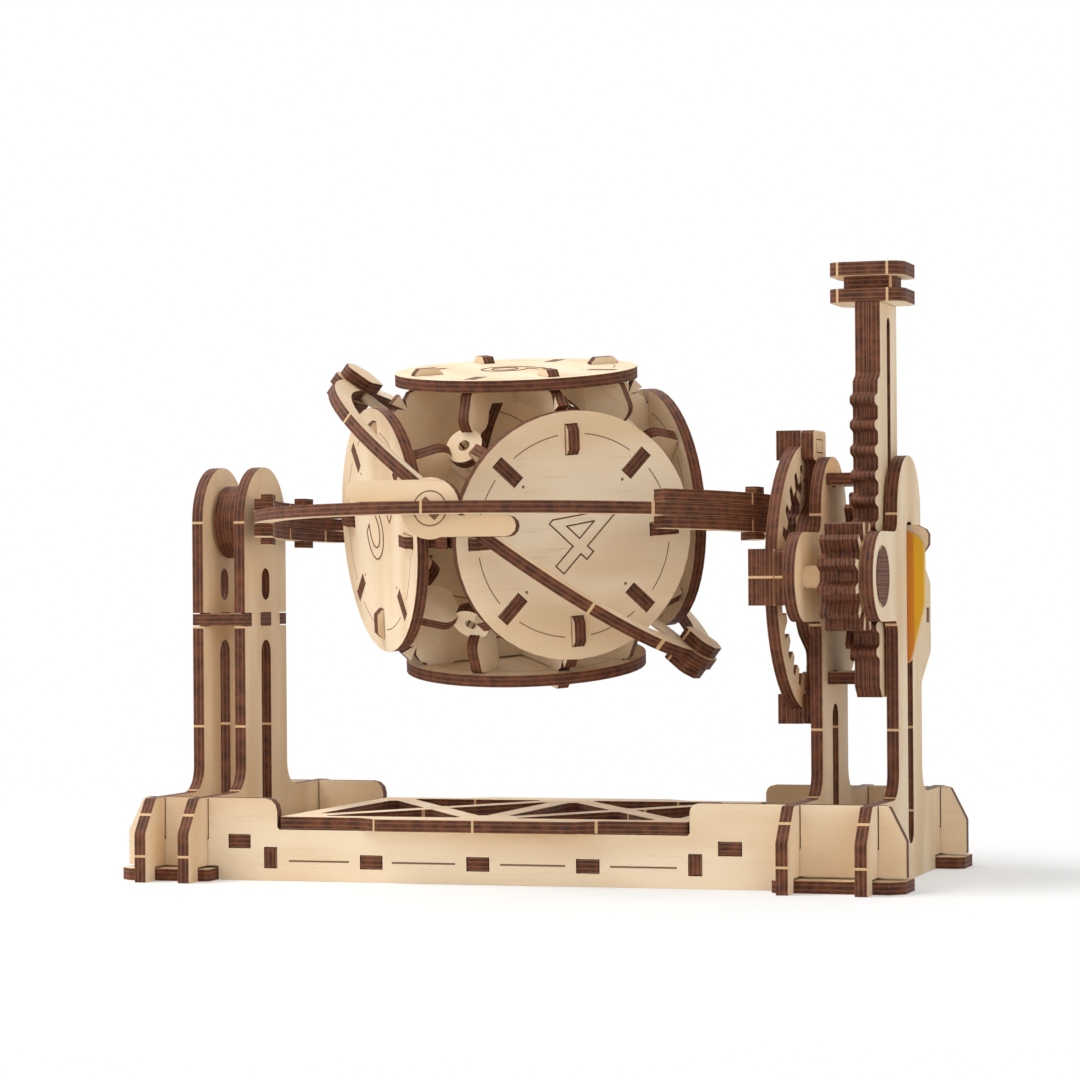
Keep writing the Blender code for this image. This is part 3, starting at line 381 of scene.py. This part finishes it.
def pin_end(centre, first, second, half_long, half_thick, slope=math.radians(-41)):
    """The dark end of a flat pin: a small oblong that leans."""
    lean = first * math.cos(slope) + second * math.sin(slope)
    steep = second * math.cos(slope) - first * math.sin(slope)

    def draw(finish, place):
        u, v = flat(finish, place, centre, lean, steep)
        return (abs(u) < half_long) * (abs(v) < half_thick)
    return draw


def engraved_dashes(first, second, level, spans, half=0.22):
    """Painted shade of the base panel's tenon slots: straight dark dashes along first at one level of
    second.
    """
    def draw(finish, place):
        u, v = flat(finish, place, Vector((0, 0, 0)), first, second)
        total = None
        for start, end in spans:
            one = (u > start) * (u < end)
            total = one if total is None else total + one
        return total * (abs(v - level) < half)
    return draw


print("engraving ready")

# %% [markdown]
# ## Which way each sheet lies
# Towers stand across the length of the toy, rails along it, and the deck lies flat. Each
# sheet's grain follows its long side, as a maker lays pieces out on a board. Where the middle
# of a sheet is could be typed for each, but it comes from the model's own box, so the plies
# always line up with the solid.

# %% Sheets square to the base
def middle_of(node, normal):
    low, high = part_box(node)
    return (low + high).dot(normal) / 2


def square_sheets(names, normal, grain, even=False, nicks=(), marks=()):
    for name in names:
        dress(name, plywood(name, normal, grain, middle_of(name, normal), even, nicks, marks))


def lines(direction, places, half=0.28):
    return [(direction, value * MM, half * MM) for value in places]


PINION_AT = Vector((0, -29.7, 69.1)) * MM
TOWER_NICKS = lines(Z, (83.2, 58.2, 34.5, 15.4, 6.0)) + lines(Y, (-17.0, 17.0))
square_sheets(("left_tower_outer", "left_tower_inner", "right_tower_inner"), X, Z, nicks=TOWER_NICKS)
square_sheets(("right_tower_outer",), X, Z, nicks=TOWER_NICKS,
              marks=[engraved_ring(PINION_AT, Y, Z, 6.8, 0.09)])
square_sheets(("left_cross_rib", "right_cross_rib"), X, Y)
# painted shade: dark dashes on the rails where the base panel's tenons sit in their slots
SLOT_SHADE_SPANS = ((-52.2, -37.4), (-27.0, -11.7), (-1.0, 14.4), (24.9, 40.4))
square_sheets(("front_rail", "rear_rail"), Y, X, nicks=lines(X, (-88, -33, 2, 30, 88)),
              marks=[engraved_dashes(X, Z, 4.6, SLOT_SHADE_SPANS)])
square_sheets(("right_rear_bar", "band_hook"), Y, X)
square_sheets(("base_panel", "left_end_panel", "right_end_panel", "left_crossbar"), Z, Y)
square_sheets(("lower_guide", "upper_guide"), Z, Y)
square_sheets(("foot_front_left", "foot_front_right", "foot_rear_left", "foot_rear_right"), Z, X,
              nicks=lines(X, (-84, 84)))
square_sheets(("deck_lattice",), Z, X, nicks=lines(X, (-30, -6, 22)))
square_sheets(("plunger_cap",), Z, X, nicks=lines(X, (72.5, 84.0)))
square_sheets(("rack_bar",), X, Z, even=True)
WHEEL_NICKS = lines(Y, (0,)) + lines(Z, (69.1,))
square_sheets(("wheel_spider", "driven_gear", "pawl_disc", "axle_link"), X, Z, nicks=WHEEL_NICKS)
square_sheets(("pinion",), X, Z)
square_sheets(("spool",), X, Z, even=True)
wheel_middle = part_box("wheel_internal_gear")[0].x + SHEET / 2
dress("wheel_internal_gear", plywood("wheel_internal_gear", X, Z, wheel_middle, nicks=WHEEL_NICKS))
small_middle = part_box("small_gear")[1].x - SHEET / 2
dress("small_gear", plywood("small_gear", X, Z, small_middle))
print("square sheets dressed")

# %% [markdown]
# ## Rings and their pivots
# The rings, the plates between them and all of the cube are tilted, so a box square to the base
# can't tell where their middles are. The middle of each comes from the turns worked out above
# and its distance from the rings' common centre. The pads glued on a ring share its plies.

# %% Rings and pivots
ring_normal = ring_turn @ Z
swing_normal = swing_turn @ Z
swing_x = swing_turn @ X
ring_middle = CENTRE.dot(ring_normal)
dress("outer_ring", plywood("outer_ring", ring_normal, X, ring_middle, nicks=lines(X, (-10.2, 37.6))))
ring_pad_finish = plywood("ring_pads", ring_normal, ring_turn @ Y, ring_middle,
                          nicks=lines(Y, (-17, 0, 17, 32)))
dress("left_ring_pads", ring_pad_finish)
dress("right_ring_pads", ring_pad_finish)
inner_nicks = lines(swing_x, (-92.0, -19.4, -6.0))
inner_finish = plywood("inner_ring", swing_normal, swing_x, CENTRE.dot(swing_normal), nicks=inner_nicks)
for name in ("inner_ring", "left_end_pads", "right_end_pads"):
    dress(name, inner_finish)
INNER_RING_OUT = 54.2 * MM
SLIP = 0.3 * MM         # air on each side of a piece that turns or slides
PLATE_MIDDLE = INNER_RING_OUT + SLIP + SHEET / 2
BOSS_X = -2.8 * MM
BOSS_LINE = 3.85        # in mm, like every size of a drawing on a sheet
BOSS_PIN = (2.6, 1.3)
pivot_normal = ring_turn @ Y
for name, side in (("front_pivot", -1), ("rear_pivot", 1)):
    boss = CENTRE + ring_turn @ Vector((-side * BOSS_X, side * PLATE_MIDDLE, 0))
    drawing = [engraved_ring(boss, X, ring_normal, BOSS_LINE, 0.16),
               pin_end(boss, X, ring_normal, *BOSS_PIN)]
    dress(name, plywood(name, pivot_normal, X, boss.dot(pivot_normal), marks=drawing))
print("rings and pivots dressed")

# %% [markdown]
# ## The cube's discs
# Six discs stand on the cube's three axes, in pairs. All could share one finish, but then the
# plies and the drawings would line up on one pair only, so each disc has its own. Its drawing
# is a circle that breaks off at the eight slots, and four dots.

# %% Discs
DISC_FACE = 35.4 * MM       # from the cube's centre to a disc's outer face
DISC_LINE, DOTS_AT, SLOT_CLEAR = 23.3, 17.0, 3.2
for number, axis in enumerate(CUBE_AXES, start=1):
    first, second = CUBE_AXES[number % 3], CUBE_AXES[(number + 1) % 3]
    drawing = [engraved_ring(CENTRE, first, second, DISC_LINE, spokes=SLOT_CLEAR),
               engraved_dots(CENTRE, first, second, DOTS_AT)]
    for tag, side in (("a", 1), ("b", -1)):
        middle = CENTRE.dot(axis) + side * (DISC_FACE - SHEET / 2)
        dress(f"disc_{number}{tag}", plywood(f"disc_{number}{tag}", axis, first, middle, marks=drawing))
print("six discs dressed")

# %% [markdown]
# ## Cage and corner pieces
# Inside the discs, three sheets cross at right angles. Each corner has three petals, on the
# planes that halve those angles, and a round hub across the corner. The eight corner pieces
# could each have a finish, but their sheets lie in only ten directions, so they share one.

# %% Cage and corners
dress("petal_cage", crossed_plywood("petal_cage", [(axis, 0) for axis in CUBE_AXES], CENTRE))
HUB_AT = 34.5 * MM
brace_sheets = []
for i in range(3):
    first, second = CUBE_AXES[i], CUBE_AXES[(i + 1) % 3]
    brace_sheets += [((first + second).normalized(), 0), ((first - second).normalized(), 0)]
for right_side, up_side in ((1, 1), (1, -1), (-1, 1), (-1, -1)):
    corner = CUBE_AXES[0] + right_side * CUBE_AXES[1] + up_side * CUBE_AXES[2]
    brace_sheets.append((corner.normalized(), HUB_AT))
brace_finish = crossed_plywood("corner_braces", brace_sheets, CENTRE)
for number in range(1, 9):
    dress(f"corner_brace_{number}", brace_finish)
print("cage and corners dressed,", len(brace_sheets), "directions")

# %% [markdown]
# ## Axles, spindle and elastic
# The axles and the cube's spindle are round sticks of the same pale wood, with the grain along
# them. They could share the sheets' finish, but their sides aren't burnt, so they have the
# face's colour all round. The elastic is a flat loop of amber rubber beside the right tower. A
# little light goes into it, and the strip nearest the tower has painted shade, a deeper amber.

# %% Dowels and the elastic band
def dowel(name, along):
    """The finish of a round stick with its grain along it."""
    finish = Finish(name)
    place = finish.place()
    side = along.orthogonal().normalized()
    axes = (along, side, along.cross(side))
    return finish_wood(finish, place, 1.0, wood_face(finish, place, axes), FACE_WARM)


for name, along in (("pinion_axle", X), ("gear_shaft", X), ("left_ring_axle", X),
                    ("spindle", CUBE_AXES[0] + CUBE_AXES[1] - CUBE_AXES[2])):
    dress(name, dowel(name, along.normalized()))

AMBER = paint(212, 155, 12)
# painted shade: the deeper amber on the strip of band nearest the tower
AMBER_PAINTED_SHADE = paint(196, 112, 6)
SHADE_FROM, SHADE_TO = 87.4, 87.8       # where the deep strip ends, in mm along the toy


def elastic():
    """Smooth amber rubber, with painted shade in a strip beside the tower."""
    finish = Finish("amber_elastic")
    place = finish.place()
    cloud = finish.noise(place, 160.0, 2.0)
    beyond = finish.along(place, X) / MM + cloud * 0.4
    # painted shade: deeper amber where the band is nearest the tower
    finish.set("Base Color", finish.mix(beyond.ramp(SHADE_FROM, SHADE_TO), AMBER_PAINTED_SHADE, AMBER))
    finish.set("Roughness", 0.32 + cloud * 0.1)
    finish.set("Subsurface Weight", 0.15)
    return finish.material


dress("elastic_band", elastic())
print("dowels and band dressed")

# %% [markdown]
# ## Drawn figures
# Each disc carries a figure from 1 to 6, like a die, as a thin burnt outline on its face. A
# numeral could be one more formula in the disc's finish, but its curves make that long, so the
# outline is taken from a letter shape and laid on the disc as a fine tube.

# %% Figures on the discs
ENGRAVED_LINE = Finish("engraved_line")
speckle = ENGRAVED_LINE.noise(ENGRAVED_LINE.place(), 700.0)
ENGRAVED_LINE.set("Base Color", ENGRAVED_LINE.mix(speckle, ENGRAVED_AND_SLOT_SHADE, BURNT))
ENGRAVED_LINE.set("Roughness", 0.8)
FIGURE_SIZE = 27 * MM
LINE_RADIUS = 0.17 * MM
SLANT = math.radians(-45)
FIGURE_SIDES = ((2, -1), (1, 1), (0, -1), (0, 1), (1, -1), (2, 1))      # axis and side of 1 to 6


def figure(number, centre, upward, outward):
    """The outline of one numeral as a fine tube, half sunk in the face."""
    text = bpy.data.curves.new(f"figure_{number}", "FONT")
    text.body = str(number)
    text.align_x, text.align_y = "CENTER", "CENTER"
    text.size = FIGURE_SIZE
    text.resolution_u = 4
    text.fill_mode = "NONE"
    text.bevel_depth = LINE_RADIUS
    text.bevel_resolution = 1
    drawn = bpy.data.objects.new(f"figure_{number}_curve", text)
    bpy.context.scene.collection.objects.link(drawn)
    mesh = bpy.data.meshes.new_from_object(drawn.evaluated_get(bpy.context.evaluated_depsgraph_get()))
    bpy.data.objects.remove(drawn, do_unlink=True)
    made = bpy.data.objects.new(f"figure_{number}", mesh)
    bpy.context.scene.collection.objects.link(made)
    turn = Matrix((upward.cross(outward), upward, outward)).transposed()
    made.matrix_world = Matrix.Translation(centre) @ turn.to_4x4()
    mesh.materials.clear()
    mesh.materials.append(ENGRAVED_LINE.material)
    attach(made, "cube")


for number, (index, side) in enumerate(FIGURE_SIDES, start=1):
    outward = CUBE_AXES[index] * side
    upward = Matrix.Rotation(SLANT, 3, outward) @ (CUBE_AXES[2] if index != 2 else CUBE_AXES[1])
    figure(number, CENTRE + outward * DISC_FACE, upward, outward)
print("six figures drawn")

# %% [markdown]
# ## The pinion's cheek
# At the right tower, the pinion's axle ends in a round cheek inside a lobe, with the end of a
# flat pin in it. The pin could be a piece of its own, but only its end shows, so the cheek is a
# thin plate over the axle's end and the pin is a mark in its finish.

# %% The pinion's cheek
CHEEK_RADIUS = 6.7 * MM
CHEEK_THICK = 0.2 * MM
CHEEK_PIN = (3.1, 1.5)


def cheek():
    """A thin round plate over the axle's end."""
    work = bmesh.new()
    bmesh.ops.create_cone(work, cap_ends=True, segments=48, radius1=CHEEK_RADIUS,
                          radius2=CHEEK_RADIUS, depth=CHEEK_THICK)
    mesh = bpy.data.meshes.new("pinion_cheek")
    work.to_mesh(mesh)
    work.free()
    made = bpy.data.objects.new("pinion_cheek", mesh)
    bpy.context.scene.collection.objects.link(made)
    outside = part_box("pinion_axle")[1].x
    place = Vector((outside + CHEEK_THICK / 2, PINION_AT.y, PINION_AT.z))
    made.matrix_world = Matrix.Translation(place) @ Matrix.Rotation(math.pi / 2, 4, "Y")
    pin = pin_end(PINION_AT, Y, Z, *CHEEK_PIN)
    mesh.materials.append(plywood("pinion_cheek", X, Z, outside, marks=[pin]))
    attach(made, "pinion")


cheek()
print("cheek in place")

# %% [markdown]
# ## White all round
# The toy was lit evenly on white. One bright world could do that, but it would flatten the
# faces, so the world gives only soft light from all round. Where the camera sees it, also in a
# reflection, it is plain white.

# %% World
def seen_directly(tree):
    """1 for what the camera sees, also in a reflection or through glass."""
    camera_ray, glossy_ray, glass_ray = [add_node(tree, "LightPath", out=f"Is {ray} Ray")
                                         for ray in ("Camera", "Glossy", "Transmission")]
    return camera_ray.max(glossy_ray).max(glass_ray)


def blended(tree, factor, first, second):
    """Two shaders, the second where factor is 1."""
    return add_node(tree, "MixShader", _0=factor, _1=first, _2=second)


WHITE = (1, 1, 1, 1)
WARM_WHITE = (1.0, 0.985, 0.96, 1)
WORLD_POWER = 0.42
world = bpy.data.worlds.new("studio")
bpy.context.scene.world = world
world.use_nodes = True
tree = world.node_tree
background = tree.nodes["Background"]
background.inputs["Color"].default_value = WARM_WHITE
background.inputs["Strength"].default_value = WORLD_POWER
soft = Wire(tree, background.outputs[0])
sky = add_node(tree, "Background", Color=WHITE, Strength=1.0)
plug(tree, tree.nodes["World Output"].inputs["Surface"],
     blended(tree, seen_directly(tree), soft, sky))
print("world ready")

# %% [markdown]
# ## The floor
# A faint shadow grounds the toy. A plain white floor would lose it and a grey one would show
# its edge, so the floor is a pale disc that is blended with plain white, about a third of it
# close to the toy and all of it farther out.

# %% Floor
FLOOR_RADIUS = 2.5
FLOOR_DROP = 0.05 * MM
FLOOR_PAINT = (0.93, 0.93, 0.93, 1)
FLOOR_NEAR = 0.35               # share of plain white close to the toy
FADE_FROM, FADE_TO = 0.10, 0.34     # where the floor turns to plain white, in metres


def floor():
    """A broad pale disc under the toy, plain white far away, with the toy's shadow near it."""
    work = bmesh.new()
    bmesh.ops.create_circle(work, cap_ends=True, segments=64, radius=FLOOR_RADIUS)
    mesh = bpy.data.meshes.new("studio_floor")
    work.to_mesh(mesh)
    work.free()
    made = bpy.data.objects.new("studio_floor", mesh)
    bpy.context.scene.collection.objects.link(made)
    made.location.z = -FLOOR_DROP
    finish = Finish("studio_floor")
    finish.set("Base Color", FLOOR_PAINT)
    finish.set("Roughness", 0.95)
    finish.set("Specular IOR Level", 0.0)
    place = finish.place()
    across, along = finish.along(place, X), finish.along(place, Y)
    clear = (across * across + along * along).root().ramp(FADE_FROM, FADE_TO)
    faded = seen_directly(finish.tree) * (FLOOR_NEAR + clear * (1 - FLOOR_NEAR))
    matt = Wire(finish.tree, finish.shader.outputs[0])
    plug(finish.tree, finish.tree.nodes["Material Output"].inputs["Surface"],
         blended(finish.tree, faded, matt, finish.node("Emission", Color=WHITE)))
    mesh.materials.append(finish.material)


floor()
print("floor laid")

# %% [markdown]
# ## Lamps
# Small lamps would throw hard shadows, and the toy's are soft, so four broad ones give the
# faces their shape: a slightly warm key high on the left, a low fill beside it, one in front on
# the right and one behind.

# %% Lamps
def lamp(name, place, aim, size, power, colour=(1, 1, 1)):
    """A square lamp at place that looks at aim."""
    data = bpy.data.lights.new(name, "AREA")
    data.size = size
    data.energy = power
    data.color = colour
    made = bpy.data.objects.new(name, data)
    bpy.context.scene.collection.objects.link(made)
    made.location = place
    made.rotation_mode = "QUATERNION"
    made.rotation_quaternion = (Vector(aim) - Vector(place)).to_track_quat("-Z", "Y")


AIM = (0, 0, 0.06)
lamp("key", (-0.55, -0.25, 1.05), AIM, 0.6, 9.5, (1, 0.99, 0.97))
lamp("fill", (-0.95, -0.45, 0.30), AIM, 0.8, 3.4)
lamp("front", (0.75, -0.8, 0.35), AIM, 0.7, 2.9)
lamp("back", (-0.1, 0.8, 0.7), AIM, 0.8, 3.0)
print("studio lit")

# %% [markdown]
# ## The camera
# It stands low, in front and a little to the right, with a long lens. A place could be tried by
# eye, but the towers' upright edges and the rail's length give it, so it is worked out from
# those. The lens is shifted up, which keeps the towers upright.

# %% Camera
LENS = 115.8
SENSOR = 36.0
SHIFT_Y = 0.0414
AZIMUTH = math.radians(17.531)
PITCH = -0.0005
ROLL = -0.0076
EYE = Vector((244.45, -782.3, 68.2)) * MM
look = Vector((-math.sin(AZIMUTH), math.cos(AZIMUTH), PITCH)).normalized()
level = Vector((math.cos(AZIMUTH), math.sin(AZIMUTH), 0))
upright = level.cross(look)
right = level * math.cos(ROLL) + upright * math.sin(ROLL)
lens = bpy.data.cameras.new("camera")
lens.lens = LENS
lens.sensor_width = SENSOR
lens.shift_y = SHIFT_Y
lens.clip_start = 0.05
camera = bpy.data.objects.new("camera", lens)
bpy.context.scene.collection.objects.link(camera)
turn = Matrix((right, right.cross(look), -look)).transposed()
camera.matrix_world = Matrix.Translation(EYE) @ turn.to_4x4()
bpy.context.scene.camera = camera
bpy.context.scene.view_settings.view_transform = "Standard"
print("camera at, mm:", [round(c / MM, 1) for c in EYE])
